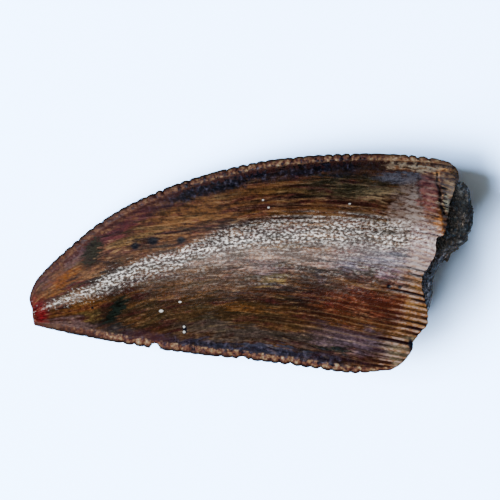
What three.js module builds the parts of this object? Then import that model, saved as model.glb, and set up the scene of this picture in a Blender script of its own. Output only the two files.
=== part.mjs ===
// Fossil crown of a meat-eating dinosaur's tooth, with the rock that filled its pulp cavity.
//
// Millimetres. +X runs from the worn tip to the broken base, +Y to the curved front keel and +Z up:
// the crown lies on its flatter inner (tongue) face, with the bulging outer (lip) face upwards.
// In plan the crown is a patch of straight rulings between its front and rear keels, from the worn
// tip to the broken edge. A place on it is (along, across): along is 0 at the tip and 1 at the
// break, across is 0 at the rear keel and 1 at the front keel.
import * as THREE from 'three';

// Thickness of the crown
const baseThickness = 5.9;
const tipThickness = 0.75;
const thicknessPower = 0.62;
const outerFaceShare = 0.57;
const outerCrestSkew = 0.16;
const bulgePower = 0.95;
const restFaceDepth = 0.13;
const breakBendPower = 8;
const tipHollow = 0.06;

// Keels and their denticles
const keelWidth = 0.42;
const keelWidthAtTip = 0.16;
const keelHalfThickness = 0.24;
const keelHalfThicknessAtTip = 0.11;
const crestHalfThickness = 0.07;
const groove = { across: 0.05, width: 0.025, depth: 0.05 };
const denticleHeight = 0.14;
const denticleRoundness = 0.6;
const frontDenticles = 48;
const rearDenticles = 36;
const stepsPerDenticle = 4;
// Damage to the rear keel: how deep, and how far it runs towards the tip and towards the break
const chips = [
  { along: 0.326, tipSide: 0.014, breakSide: 0.014, depth: 0.22 },
  { along: 0.588, tipSide: 0.09, breakSide: 0.01, depth: 0.17 },
];

// Fine ridges that fan out of the crown at its broken base
const ridgeCount = 36;
const ridgeHeight = 0.04;
const ridgeStart = 0.84;
const stepsPerRidge = 3;

// Flake lost from the outer face at the front corner of the break, which slopes away there
const flake = { edge: 21.9, rear: 1.7, front: 5.4, fade: 0.5, slope: 0.9 };

// Pulp cavity, and the rock in it
const cavity = { from: 0.28, to: 0.9, halfHeight: 1.45, lift: 0.2, depth: 1.3, inset: 0.15 };
const cavityTaper = 0.1;
const fractureWidth = 0.45;
const fractureGrain = 0.1;
const rockGap = 0.3;
const lumpReach = 1.85;
const stripReach = 0.9;
const rockGrain = 0.13;
const rockRings = [0.98, 0.9, 0.77, 0.6, 0.4, 0.2];

// Steps of the surface
const bodyRows = 42;
const ridgedRows = 8;
const outerSteps = ridgeCount / 2;
const innerSteps = ridgeCount / 3;
const cavitySteps = 36;

const curve = (points) => new THREE.SplineCurve(points.map(([x, y]) => new THREE.Vector2(x, y)));

const frontKeel = curve([
  [0.01, 0.7], [0.27, 1.22], [0.73, 1.76], [2.25, 3.01], [4.14, 4.28], [6.3, 5.24], [9.1, 6.04],
  [12.6, 6.57], [16.3, 6.61], [19.4, 6.34], [21.6, 5.92], [22.57, 5.56],
]);
const rearKeel = curve([
  [0.22, -0.8], [1.2, -1.15], [2.9, -1.72], [6.9, -2.79], [11.5, -3.76], [14.3, -4.4], [16.5, -4.89],
  [18.52, -5.03],
]);
const outerBreak = curve([
  [18.52, -5.03], [19.1, -4.75], [19.74, -4.11], [19.82, -3.66], [20.25, -3.2], [20.76, -2.7],
  [20.78, -1.8], [20.6, -0.5], [21, 0.28], [21.4, 0.9], [21.52, 1.66], [22, 1.9], [22.35, 3.2],
  [22.8, 4.2], [23.03, 4.72], [22.9, 5.2], [22.57, 5.56],
]);
const innerBreak = curve([
  [18.52, -5.03], [19.2, -4.2], [20, -2.9], [20.25, -1.5], [20.4, -0.2], [21, 1.2], [21.5, 2.2],
  [22.1, 3.6], [22.6, 4.7], [22.57, 5.56],
]);

const breakLength = outerBreak.getLength();

const outerFace = {
  side: 1, share: outerFaceShare, crestSkew: outerCrestSkew, breakEdge: outerBreak,
};
const innerFace = {
  side: -1, share: 1 - outerFaceShare, crestSkew: 0, breakEdge: innerBreak,
};

const smooth = (from, to, x) => THREE.MathUtils.smoothstep(x, from, to);
const grain = (seed) => {
  const wave = Math.sin(seed * 12.9898) * 43758.5453;
  return 2 * (wave - Math.floor(wave)) - 1;
};

// A closed skin, made of rows of points that are joined two at a time. A row's points carry their
// place t along the row, so that rows of different counts can be joined. join(a, b) faces the side
// that (from a to b) x (along the rows) points to.
class Skin {
  points = [];
  faces = [];

  row(count, place) {
    return Array.from({ length: count + 1 }, (_, step) => this.add(place(step / count), step / count));
  }

  add(point, t) {
    this.points.push(point);
    return { index: this.points.length - 1, t };
  }

  join(a, b) {
    let i = 0;
    let j = 0;
    while (i < a.length - 1 || j < b.length - 1) {
      const nextA = i < a.length - 1 ? a[i + 1].t : Infinity;
      const nextB = j < b.length - 1 ? b[j + 1].t : Infinity;
      if (nextA <= nextB) {
        this.faces.push(a[i].index, b[j].index, a[i + 1].index);
        i += 1;
      } else {
        this.faces.push(a[i].index, b[j].index, b[j + 1].index);
        j += 1;
      }
    }
  }

  joinAll(rows) {
    rows.slice(1).forEach((row, at) => this.join(rows[at], row));
  }

  geometry() {
    const geometry = new THREE.BufferGeometry();
    const numbers = this.points.flatMap((point) => [point.x, point.y, point.z]);
    geometry.setAttribute('position', new THREE.Float32BufferAttribute(numbers, 3));
    geometry.setIndex(this.faces);
    geometry.computeVertexNormals();
    return geometry;
  }
}

// Thickness and height of the middle plane at a place along the crown
function thickness(along) {
  const tipLead = (tipThickness / baseThickness) ** (1 / thicknessPower);
  return baseThickness * (tipLead + (1 - tipLead) * along) ** thicknessPower;
}

function middleHeight(along) {
  return (1 - outerFaceShare) * thickness(along) - restFaceDepth;
}

// The keels grow from their small size at the tip within the first tenth of the crown
const grown = (atTip, full, along) => atTip + (full - atTip) * smooth(0, 0.1, along);

// Point beside a keel's curve, offset to the left of its run from tip to break
function beside(keel, along, offset) {
  const tangent = keel.getTangentAt(along);
  return keel.getPointAt(along).addScaledVector(new THREE.Vector2(-tangent.y, tangent.x), offset);
}

// Inner line of a keel, where it meets the faces. inward is +1 for the rear keel, -1 for the front.
function keelRoot(keel, along, inward) {
  return beside(keel, along, inward * grown(keelWidthAtTip, keelWidth, along));
}

// Plan of one face: straight rulings between the keel roots, bent near the base to the broken edge
function plan(along, across, breakEdge) {
  const rear = keelRoot(rearKeel, along, 1);
  const front = keelRoot(frontKeel, along, -1);
  const chord = keelRoot(rearKeel, 1, 1).lerp(keelRoot(frontKeel, 1, -1), across);
  const keelShare = keelWidth / breakLength;
  const bend = breakEdge.getPointAt(keelShare + (1 - 2 * keelShare) * across).sub(chord);
  return rear.lerp(front, across).addScaledVector(bend, along ** breakBendPower);
}

// Height of a face over the middle plane: a shallow groove beside each keel, then the bulge, whose
// highest line lies nearer the front keel on the outer face. Fine ridges rise towards the break.
function relief(face, along, across) {
  const skewed = across - face.crestSkew * across * (1 - across);
  const bulge = (4 * skewed * (1 - skewed)) ** bulgePower;
  const fromGroove = (Math.min(across, 1 - across) - groove.across) / groove.width;
  const ridges = -Math.cos(2 * Math.PI * ridgeCount * across) * smooth(ridgeStart + 0.02, 1, along);
  const edge = grown(keelHalfThicknessAtTip, keelHalfThickness, along);
  const height = face.share * thickness(along) - edge;
  return edge + height * bulge - groove.depth * Math.exp(-(fromGroove ** 2))
    + ridgeHeight * ridges * smooth(0, 0.1, bulge);
}

// Depth of the lost flake at a place in plan
function flakeDepth(x, y) {
  const rearFade = smooth(flake.rear, flake.rear + flake.fade, y);
  const frontFade = 1 - smooth(flake.front - flake.fade, flake.front, y);
  return flake.slope * Math.max(0, x - flake.edge) * rearFade * frontFade;
}

// Point of a face. The inner face is flat where it would reach below the surface it lies on.
function facePoint(face, along, across) {
  const { x, y } = plan(along, across, face.breakEdge);
  const lost = face === outerFace ? flakeDepth(x, y) : 0;
  const z = middleHeight(along) + face.side * relief(face, along, across) - lost;
  return new THREE.Vector3(x, y, Math.max(z, 0));
}

// Depth of the damage to the rear keel
function chipDepth(along) {
  return Math.max(0, ...chips.map((chip) => {
    const reach = along < chip.along ? chip.tipSide : chip.breakSide;
    return chip.depth * (1 - Math.abs(along - chip.along) / reach);
  }));
}

// Crest of a keel, with its denticles: rounded chisels, worn away at the tip. side is +1 for the
// edge of the crest towards the outer face and -1 for the other.
function crestPoint(keel, count, outward, side, along) {
  const tooth = Math.sin(Math.PI * ((along * count) % 1)) ** denticleRoundness;
  const worn = smooth(0.02, 0.12, along) * smooth(0, 0.03, 1 - along);
  const chipped = keel === rearKeel ? chipDepth(along) : 0;
  const reach = denticleHeight * (tooth - 1) * worn - chipped;
  const { x, y } = beside(keel, along, outward * reach);
  return new THREE.Vector3(x, y, Math.max(middleHeight(along) + side * crestHalfThickness, 0));
}

// Closed ring in the pulp cavity's mouth: t runs once round it, over the outer side and back over
// the inner side. margin keeps clear of the cavity's wall, and scale draws the ring to its centre.
function cavityPoint(t, margin, depth, scale = 1) {
  const across = t <= 0.5 ? 2 * t : 2 - 2 * t;
  const side = t <= 0.5 ? 1 : -1;
  const halfSpan = (cavity.to - cavity.from) / 2 - margin / breakLength;
  const place = (cavity.to + cavity.from) / 2 + scale * halfSpan * (2 * across - 1);
  const edge = outerBreak.getPointAt(place).lerp(innerBreak.getPointAt(place), 0.5);
  const round = Math.sqrt(Math.max(0, 1 - (2 * across - 1) ** 2));
  const z = middleHeight(1) + cavity.lift + scale * side * (cavity.halfHeight - margin) * round;
  return new THREE.Vector3(edge.x - cavity.inset - depth, edge.y, z);
}

function roughen(point, amount, seed) {
  return new THREE.Vector3(
    point.x + amount * grain(seed),
    point.y + amount * grain(seed + 0.37),
    point.z + amount * grain(seed + 0.71),
  );
}

const closed = (ring) => [...ring.slice(0, -1), { index: ring[0].index, t: 1 }];
const first = (row) => row[0];
const last = (row) => row[row.length - 1];

function crown() {
  const skin = new Skin();
  const stations = [];
  for (let row = 0; row <= bodyRows; row += 1) {
    stations.push(ridgeStart * row / bodyRows);
  }
  for (let row = 1; row <= ridgedRows; row += 1) {
    stations.push(ridgeStart + (1 - ridgeStart) * row / ridgedRows);
  }

  // The two faces, in rows across the crown
  const steps = (along, plain) => (along >= ridgeStart ? ridgeCount * stepsPerRidge : plain);
  const outerRows = stations.map((along) => (
    skin.row(steps(along, outerSteps), (across) => facePoint(outerFace, along, across))));
  const innerRows = stations.map((along) => (
    skin.row(steps(along, innerSteps), (across) => facePoint(innerFace, along, 1 - across))));
  skin.joinAll(outerRows);
  skin.joinAll(innerRows);

  // The two keels, in rows along the crown
  const column = (rows, pick) => rows.map((row, at) => ({ index: pick(row).index, t: stations[at] }));
  const crest = (keel, count, outward, side) => (
    skin.row(count * stepsPerDenticle, (along) => crestPoint(keel, count, outward, side, along)));
  const frontCrest = [-1, 1].map((side) => crest(frontKeel, frontDenticles, 1, side));
  const rearCrest = [1, -1].map((side) => crest(rearKeel, rearDenticles, -1, side));
  skin.joinAll([column(innerRows, first), ...frontCrest, column(outerRows, last)]);
  skin.joinAll([column(outerRows, first), ...rearCrest, column(innerRows, last)]);

  // The worn tip, and the rough break with the mouth of the pulp cavity in it
  const rim = (end) => {
    const outerHalf = [end(rearCrest[0]), ...end(outerRows), end(frontCrest[1])];
    const innerHalf = [end(frontCrest[0]), ...end(innerRows), end(rearCrest[1])];
    const halfRing = (half, start) => half.map(({ index }, at) => (
      { index, t: start + 0.5 * at / half.length }));
    const ring = [...halfRing(outerHalf, 0), ...halfRing(innerHalf, 0.5)];
    return [...ring, { index: ring[0].index, t: 1 }];
  };
  const tipMiddle = plan(0, 0.5, outerBreak);
  const tipHeight = middleHeight(0) + restFaceDepth;
  skin.join([skin.add(new THREE.Vector3(tipMiddle.x + tipHollow, tipMiddle.y, tipHeight), 0)], rim(first));
  const fracture = skin.row(cavitySteps, (t) => (
    roughen(cavityPoint(t, -fractureWidth, 0), fractureGrain, 3 + t)));
  const mouth = skin.row(cavitySteps, (t) => cavityPoint(t, 0, 0));
  const floor = skin.row(cavitySteps, (t) => cavityPoint(t, cavityTaper, cavity.depth));
  const floorCentre = skin.add(cavityPoint(0.25, 0, cavity.depth, 0), 0);
  skin.joinAll([rim(last), closed(fracture), closed(mouth), closed(floor), [floorCentre]]);
  return skin.geometry();
}

// How far the rock stands out of the break: a lump at the front, thinning to a strip at the rear
const rockReach = (y) => stripReach + (lumpReach - stripReach) * smooth(0.4, 1.5, y);

function rockPoint(t, scale) {
  const point = cavityPoint(t, rockGap, 0, scale);
  point.x += cavity.inset + rockReach(point.y) * Math.sqrt(1 - scale ** 2);
  return roughen(point, rockGrain, 11 + 7 * scale + t);
}

function matrixPlug() {
  const skin = new Skin();
  const tongueDepth = cavity.depth - rockGap;
  const tongueCentre = skin.add(cavityPoint(0.25, 0, tongueDepth, 0), 0);
  const tongue = closed(skin.row(cavitySteps, (t) => (
    cavityPoint(t, rockGap + cavityTaper, tongueDepth))));
  const mouth = closed(skin.row(cavitySteps, (t) => cavityPoint(t, rockGap, 0)));
  const rings = rockRings.map((scale) => closed(skin.row(cavitySteps, (t) => rockPoint(t, scale))));
  const top = skin.add(rockPoint(0.25, 0), 0);
  skin.joinAll([[tongueCentre], tongue, mouth, ...rings, [top]]);
  return skin.geometry();
}

const enamel = new THREE.MeshStandardMaterial({ color: 0x5a3219, roughness: 0.3, metalness: 0 });
const rock = new THREE.MeshStandardMaterial({ color: 0x35322e, roughness: 0.95, metalness: 0 });

function piece(name, geometry, material) {
  const mesh = new THREE.Mesh(geometry, material);
  mesh.name = name;
  return mesh;
}

const tooth = new THREE.Group();
tooth.add(piece('crown', crown(), enamel));
tooth.add(piece('matrix_plug', matrixPlug(), rock));

// The origin is under the middle of the box, on the surface that the crown lies on
const box = new THREE.Box3().setFromObject(tooth);
const middle = box.getCenter(new THREE.Vector3());
tooth.position.set(-middle.x, -middle.y, -box.min.z);

export default tooth;
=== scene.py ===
# %% [markdown]
# # A fossil dinosaur tooth
# The crown of a meat-eating dinosaur's tooth lies on its inner face on a pale surface. It is one
# grown piece of glossy brown enamel over dentine, with two finely toothed keels, a worn tip and a
# broken base. Dark rock fills the pulp cavity and stands out of the break.
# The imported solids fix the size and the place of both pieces. This script builds a finer skin over
# each of them from the same few outlines, and finishes the skins with procedural materials.

# %% Load the frame
import math

import bmesh
import bpy
import numpy as np
from mathutils import Matrix, Vector, noise


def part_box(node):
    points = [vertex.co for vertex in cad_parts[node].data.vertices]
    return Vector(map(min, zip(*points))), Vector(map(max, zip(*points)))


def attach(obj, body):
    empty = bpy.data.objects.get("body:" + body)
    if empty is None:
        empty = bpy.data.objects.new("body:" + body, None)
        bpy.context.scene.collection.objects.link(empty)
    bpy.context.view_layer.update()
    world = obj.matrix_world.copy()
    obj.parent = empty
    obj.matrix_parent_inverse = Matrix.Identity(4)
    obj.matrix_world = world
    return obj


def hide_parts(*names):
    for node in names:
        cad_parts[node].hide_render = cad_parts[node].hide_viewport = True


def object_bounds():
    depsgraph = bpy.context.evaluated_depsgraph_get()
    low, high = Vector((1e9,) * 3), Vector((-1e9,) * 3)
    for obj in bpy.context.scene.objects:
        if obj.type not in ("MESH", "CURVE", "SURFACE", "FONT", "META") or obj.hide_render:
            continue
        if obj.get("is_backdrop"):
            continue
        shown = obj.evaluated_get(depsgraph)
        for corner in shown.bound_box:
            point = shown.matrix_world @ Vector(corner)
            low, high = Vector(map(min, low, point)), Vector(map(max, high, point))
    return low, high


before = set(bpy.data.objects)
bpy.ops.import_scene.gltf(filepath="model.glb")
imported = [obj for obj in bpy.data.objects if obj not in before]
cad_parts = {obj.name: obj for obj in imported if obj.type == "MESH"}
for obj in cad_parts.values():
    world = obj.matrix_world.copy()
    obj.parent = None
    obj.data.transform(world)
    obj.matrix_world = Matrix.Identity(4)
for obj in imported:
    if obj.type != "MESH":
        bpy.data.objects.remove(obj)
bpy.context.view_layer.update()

MM = 0.001
crown_low = Vector(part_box("crown")[0])

# %% [markdown]
# ## Outlines
# The crown is drawn in plan, in millimetres, from the middle of its worn tip: +X to the base and
# +Y to the curved front keel. Four smooth lines are enough: the two keels and the two broken edges,
# one for each face. A line could be a Bezier curve object, but a small class of our own can be
# asked for any share of its length, and for places beside it, which is what the keels need.

# %% Smooth lines through a few points
class Outline:
    """A smooth line in plan, read by its share of length from 0 to 1."""

    def __init__(self, points, steps=200):
        knots = np.array(points, float)
        ends = np.vstack([knots[:1], knots, knots[-1:]])
        t = np.linspace(0, 1, steps, endpoint=False)[:, None]
        runs = []
        for before, start, end, after in zip(ends[:-3], ends[1:-2], ends[2:-1], ends[3:]):
            out, into = (end - before) / 2, (after - start) / 2
            cube = 2 * start - 2 * end + out + into
            square = 3 * end - 3 * start - 2 * out - into
            runs.append(cube * t**3 + square * t**2 + out * t + start)
        self.line = np.vstack(runs + [knots[-1:]])
        pieces = np.hypot(*np.diff(self.line, axis=0).T)
        self.length = pieces.sum()
        self.share = np.concatenate([[0], np.cumsum(pieces)]) / self.length
        run = np.gradient(self.line, axis=0)
        self.run = run / np.linalg.norm(run, axis=1)[:, None]

    def read(self, table, share):
        return np.stack([np.interp(share, self.share, table[:, k]) for k in (0, 1)], -1)

    def at(self, share):
        return self.read(self.line, share)

    def beside(self, share, offset):
        run = self.read(self.run, share)
        left = np.stack([-run[..., 1], run[..., 0]], -1)
        return self.at(share) + left * np.asarray(offset)[..., None]


front_keel = Outline([
    (-0.1, 0.66), (0.17, 1.22), (0.66, 1.8), (2.22, 3.04), (4.14, 4.28), (6.3, 5.24), (9.1, 6.04),
    (12.6, 6.57), (16.3, 6.61), (19.4, 6.34), (21.6, 5.95), (22.66, 5.6),
])
rear_keel = Outline([
    (0.07, -0.8), (1.15, -1.17), (2.9, -1.72), (6.9, -2.79), (11.5, -3.76), (14.3, -4.4),
    (16.5, -4.89), (18.52, -5.03),
])
outer_break = Outline([
    (18.52, -5.03), (19.1, -4.75), (19.74, -4.11), (19.82, -3.66), (20.25, -3.2), (20.68, -2.7),
    (20.68, -1.8), (20.55, -0.5), (21, 0.28), (21.4, 0.9), (21.52, 1.66), (22, 1.9), (22.35, 3.2),
    (22.8, 4.2), (23.1, 4.72), (23.02, 5.2), (22.66, 5.6),
])
inner_break = Outline([
    (18.52, -5.03), (19.2, -4.2), (20, -2.9), (20.25, -1.5), (20.4, -0.2), (21, 1.2), (21.5, 2.2),
    (22.1, 3.6), (22.6, 4.7), (22.66, 5.6),
])
print("keels, mm:", round(front_keel.length, 2), round(rear_keel.length, 2))

# %% [markdown]
# ## The form of the crown
# A place on a face is (along, across): along runs from 0 at the tip to 1 at the break, across from
# 0 at the rear keel to 1 at the front keel. Straight rulings between the keels give the plan, and a
# bulge over the middle plane gives the height, so one pair of numbers finds any point. Sculpting
# could give such a form, but formulas can take the same sizes as the solid does. The skin differs
# from the solid's plain round section in one way: from the tip to past the middle, two flatter
# slopes of the outer face meet in a rounded crest, which the sheen follows.

# %% Sizes that the solid shares
BASE_THICKNESS = 5.9
TIP_THICKNESS = 0.75
THICKNESS_POWER = 0.62
OUTER_SHARE = 0.57
BULGE_POWER = 0.95
REST_DEPTH = 0.13
BREAK_BEND_POWER = 8
KEEL_WIDTH, KEEL_WIDTH_AT_TIP = 0.42, 0.16
KEEL_HALF, KEEL_HALF_AT_TIP = 0.24, 0.11
CREST_HALF = 0.07
FLAKE_EDGE, FLAKE_SLOPE = 21.9, 0.9
print("thickness at the tip and the base, mm:", TIP_THICKNESS, BASE_THICKNESS)

# %% Section and plan of the crown
ROOF_SHARE, CREST_ROUND = 0.95, 0.2


def smooth(low, high, x):
    t = np.clip((x - low) / (high - low), 0, 1)
    return t * t * (3 - 2 * t)


def grown(at_tip, full, along):
    return at_tip + (full - at_tip) * smooth(0, 0.1, along)


def thickness(along):
    lead = (TIP_THICKNESS / BASE_THICKNESS) ** (1 / THICKNESS_POWER)
    return BASE_THICKNESS * (lead + (1 - lead) * along) ** THICKNESS_POWER


def crest_place(along):
    """The share across at the crest: nearer the rear keel at the tip, past the middle later."""
    return 0.333 + 0.195 * smooth(0.02, 0.34, along) + 0.07 * smooth(0.5, 0.8, along)


def leaned(across, place):
    """The share across, moved so that it is a half where the crest is."""
    return across / (across + place / (1 - place) * (1 - across))


def roof(off):
    """Two flat slopes that meet in a round crest: 1 where off is 0, and 0 at the keels."""
    foot = math.sqrt(1 + CREST_ROUND**2)
    return (foot - np.sqrt(off**2 + CREST_ROUND**2)) / (foot - CREST_ROUND)


def middle_height(along):
    return (1 - OUTER_SHARE) * thickness(along) - REST_DEPTH


def keel_root(line, along, inward):
    return line.beside(along, inward * grown(KEEL_WIDTH_AT_TIP, KEEL_WIDTH, along))


def plan(along, across, break_edge):
    rear, front = keel_root(rear_keel, along, 1), keel_root(front_keel, along, -1)
    end = np.ones(1)
    rear_end, front_end = keel_root(rear_keel, end, 1), keel_root(front_keel, end, -1)
    keel_share = KEEL_WIDTH / outer_break.length
    edge = break_edge.at(keel_share + (1 - 2 * keel_share) * across)
    share = across[..., None]
    bend = edge - rear_end * (1 - share) - front_end * share
    return rear * (1 - share) + front * share + bend * along[..., None] ** BREAK_BEND_POWER


print("thickness at the middle, mm:", round(float(thickness(np.array(0.5))), 2))

# %% [markdown]
# ## Fine relief
# Enamel is never a clean surface. Fibres run from the tip to the base and stand up as fine ridges
# where the break cuts them, each with a depth of its own. Low waves, a few pits, a spalled flake by
# the front corner and a crack across it are all real depth, so they are moved points, not bump.
# Noise from a fixed function keeps every run the same.

# %% Ridges
RIDGES = 37
RIDGE_HEIGHT = 0.06
RIDGE_START = 0.9
FIBRE_TURN = 0.26


def ripple(x, y, z=0.0):
    """Smooth noise from -1 to 1 at places given in noise cells."""
    x, y, z = np.broadcast_arrays(x, y, z)
    flat = [noise.noise(Vector(p)) for p in zip(x.ravel(), y.ravel(), z.ravel())]
    return np.array(flat).reshape(x.shape)


def fibre_across(along, across):
    return across + FIBRE_TURN * np.maximum(0, along - 0.5) ** 2


def spread(along):
    """Width in millimetres over which the fibres fan out."""
    return 3.3 + 7.7 * smooth(0, 0.6, along)


def ridge_lines(along, across, seed):
    """Crest 1 and groove 0 of the ridges, each groove's strength, and how far it has begun."""
    lane = fibre_across(along, across) * RIDGES
    lane = lane + 0.35 * ripple(lane * 0.23, along * 3, seed)
    number = np.floor(lane + 0.5)
    strength = np.clip(0.65 + 1.1 * ripple(number * 0.77 + 0.3, along * 2, seed + 5.5), 0.08, 1.2)
    start = RIDGE_START + 0.035 + 0.09 * ripple(number * 0.61 + 0.2, 0.5, seed + 8)
    crest = 0.5 - 0.5 * np.cos(2 * np.pi * lane)
    return crest**0.7, strength, smooth(start, start + 0.055, along)


print("one ridge every mm:", round(outer_break.length / RIDGES, 2))

# %% Flake, crack and pits
PITS = {  # place in plan: width, in millimetres
    (5.77, 2.78): 0.16, (6.73, 2.95): 0.2, (8.21, 2.86): 0.15, (18.82, -0.6): 0.15,
    (19.39, -0.7): 0.13,
}
PIT_DEPTH, CRACK_DEPTH, CRACK_HALF, SCAR_DEPTH = 0.03, 0.12, 0.07, 0.07
CRACK = Outline([(21.95, 5.05), (21.9, 4.5), (22.0, 4.0), (21.95, 3.5), (22.08, 2.9)])


def spalled(x, y):
    """1 inside the shallow scar where a flake of enamel came off."""
    wobble = 0.12 * ripple(x * 3, y * 3, 2.2)
    return (smooth(20.85, 21.0, x + wobble) * smooth(-22.0, -21.85, -x)
            * smooth(3.25, 3.5, y + wobble) * smooth(-5.15, -4.95, -y))


def cracked(x, y):
    """1 in the middle of the crack."""
    line = CRACK.at(np.linspace(0, 1, 40))
    gap = np.hypot(x[..., None] - line[:, 0], y[..., None] - line[:, 1]).min(-1)
    return np.exp(-(gap / CRACK_HALF) ** 2)


print("damage: one flake, one crack and", len(PITS), "pits")

# %% [markdown]
# ## A skin of rows
# The mesh is made of rows of points that are joined two at a time. Where two rows have the same
# count they give quads, and where they differ, as between a face and a finely toothed keel, a zip
# of triangles joins them. Blender's bridge tool could join them too, but here every join is known
# beforehand. Each point also carries channels of three numbers, which the finish reads later.

# %% The skin
class Skin:
    """A mesh of rows, with three numbers in each of these channels:

    plan: x, y, and the side (1 outer, -1 inner)
    fibre: millimetres along and across the fibres, and a seed
    inset: the share along, and millimetres from the front and the rear keel
    keel: the share out to the blade's edge, the denticle (0 in a slot), and the crack
    broken: the dentine, the scar, and the groove between two ridges
    lane: the ridge (1 at its crest), and how deep its groove is
    """

    channels = ("plan", "fibre", "inset", "keel", "broken", "lane")

    def __init__(self):
        self.points, self.faces = [], []
        self.values = {name: [] for name in self.channels}
        self.count = 0

    def add(self, points, **values):
        """Adds points in rows and returns their numbers in the same rows."""
        for name in self.channels:
            value = np.broadcast_to(values.get(name, np.zeros(3)), points.shape)
            self.values[name].append(value.reshape(-1, 3))
        self.points.append(points.reshape(-1, 3))
        numbers = self.count + np.arange(points[..., 0].size).reshape(points.shape[:-1])
        self.count = int(numbers.max()) + 1
        return numbers

    def sheet(self, rows):
        quads = np.stack([rows[:-1, :-1], rows[1:, :-1], rows[1:, 1:], rows[:-1, 1:]], -1)
        self.faces += quads.reshape(-1, 4).tolist()

    def zip(self, a, b, a_share=None, b_share=None):
        """Joins two rows of any counts. The side from a to b, crossed with the row, faces out."""
        a_share = np.linspace(0, 1, len(a)) if a_share is None else a_share
        b_share = np.linspace(0, 1, len(b)) if b_share is None else b_share
        i = j = 0
        while i < len(a) - 1 or j < len(b) - 1:
            next_a = a_share[i + 1] if i < len(a) - 1 else 2
            next_b = b_share[j + 1] if j < len(b) - 1 else 2
            if next_a <= next_b:
                self.faces.append([int(a[i]), int(b[j]), int(a[i + 1])])
                i += 1
            else:
                self.faces.append([int(a[i]), int(b[j]), int(b[j + 1])])
                j += 1

    def piece(self, name, shift):
        mesh = bpy.data.meshes.new(name)
        points = (np.vstack(self.points) + shift) * MM
        mesh.from_pydata(points.tolist(), [], self.faces)
        for channel in self.channels:
            layer = mesh.attributes.new(channel, "FLOAT_VECTOR", "POINT")
            values = np.vstack(self.values[channel]).astype(np.float32)
            layer.data.foreach_set("vector", values.ravel())
        mesh.shade_smooth()
        made = bpy.data.objects.new(name, mesh)
        bpy.context.scene.collection.objects.link(made)
        triangles = sum(len(corners) - 2 for corners in self.faces)
        print(name, "points", len(points), "triangles", triangles)
        return made


# %% [markdown]
# ## The two faces
# The outer face is seen closest, so it gets the finest steps, closest together near the base, where
# the ridges are. The inner face lies on the surface: it is flatter, and it is cut off flat where it
# touches. A subdivided plane with Displace modifiers could give the relief, but a formula for each
# face also knows where its grooves, its crack and its scar are, and can tell the finish.

# %% A face of the crown
OUTER_STEPS, INNER_STEPS = 228, 84
FINE_FROM = 0.8
FIBRE_LENGTH = 22
KEEL_GROOVE = 0.03
# Low waves: height, noise cells to the millimetre in x and y, and what is added to the seed
WAVES = ((0.02, 0.9, 1.3, 0), (0.007, 3.1, 5.3, 3))


def stations(coarse, fine):
    """Places along the crown: wide steps as far as FINE_FROM, and close ones from there."""
    body = np.linspace(0, FINE_FROM, coarse, endpoint=False)
    return np.concatenate([body, np.linspace(FINE_FROM, 1, fine)])


outer_stations, inner_stations = stations(130, 80), stations(90, 40)


def face(places, steps, side):
    along, across = np.meshgrid(places, np.linspace(0, 1, steps + 1), indexing="ij")
    outer = side > 0
    seed = 1.7 if outer else 9.1
    place = plan(along, across, outer_break if outer else inner_break)
    x, y = place[..., 0], place[..., 1]
    skewed = leaned(across, crest_place(along) if outer else 0.5)
    dome = (4 * skewed * (1 - skewed)) ** BULGE_POWER
    bulge = dome + (roof(2 * skewed - 1) - dome) * ROOF_SHARE * smooth(-0.62, -0.1, -along)
    edge = grown(KEEL_HALF_AT_TIP, KEEL_HALF, along)
    share = OUTER_SHARE if outer else 1 - OUTER_SHARE
    inset = np.minimum(across, 1 - across)
    height = edge + (share * thickness(along) - edge) * bulge
    beside_keel = np.exp(-((inset - 0.05) / 0.025) ** 2)
    height = height - KEEL_GROOVE * smooth(0.15, 0.4, along) * beside_keel

    clear = smooth(0, 0.12, bulge)
    crest, strength, begun = ridge_lines(along, across, seed)
    comb = 0.3 + 0.7 * smooth(0.08, 0.14, across) * smooth(-0.53, -0.45, -across)
    rise = begun * comb + 0.12 * smooth(0.3, 0.8, along)
    height = height + clear * rise * RIDGE_HEIGHT * (0.4 - strength * (1 - crest))
    for size, x_cells, y_cells, more in WAVES:
        height = height + clear * size * ripple(x * x_cells, y * y_cells, seed + more)
    groove = (1 - crest) * strength * comb * begun
    damage, crack = np.zeros_like(x), np.zeros_like(x)
    if outer:
        fade = smooth(1.7, 2.2, y) * (1 - smooth(4.9, 5.4, y))
        slope = FLAKE_SLOPE * np.maximum(0, x - FLAKE_EDGE) * fade
        scar = spalled(x, y)
        crack = cracked(x, y)
        flaked = SCAR_DEPTH * scar * (1 + 0.4 * ripple(x * 5, y * 5, 4))
        height = height - slope - flaked - CRACK_DEPTH * crack
        for (pit_x, pit_y), size in PITS.items():
            away = ((x - pit_x) ** 2 + (y - pit_y) ** 2) / (size / 2) ** 2
            height = height - PIT_DEPTH * np.exp(-away)
        damage = np.maximum(scar, smooth(0, 0.08, slope))
    ragged = 0.05 * ripple(x * 1.5, y * 4, seed) - 0.05 * (1 - crest) * strength * comb
    x = x + clear * smooth(0.95, 1, along) * ragged
    z = middle_height(along) + side * height
    width = np.linalg.norm(place[:, -1] - place[:, 0], axis=-1)[:, None]
    seen_y = y if outer else place[:, :1, 1] + place[:, -1:, 1] - y
    zero = np.zeros_like(x)
    fibre = spread(along) * (fibre_across(along, across) - 0.5)
    channels = {
        "plan": np.stack([x, seen_y, zero + side], -1),
        "fibre": np.stack([along * FIBRE_LENGTH, fibre, zero + seed], -1),
        "inset": np.stack([along, (1 - across) * width, across * width], -1),
        "keel": np.stack([zero, zero + 1, crack], -1),
        "broken": np.stack([zero, damage, groove], -1),
        "lane": np.stack([crest, strength, zero], -1),
    }
    return np.stack([x, y, np.maximum(z, 0)], -1), channels


print("rows of points:", len(outer_stations), "outer,", len(inner_stations), "inner")

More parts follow.
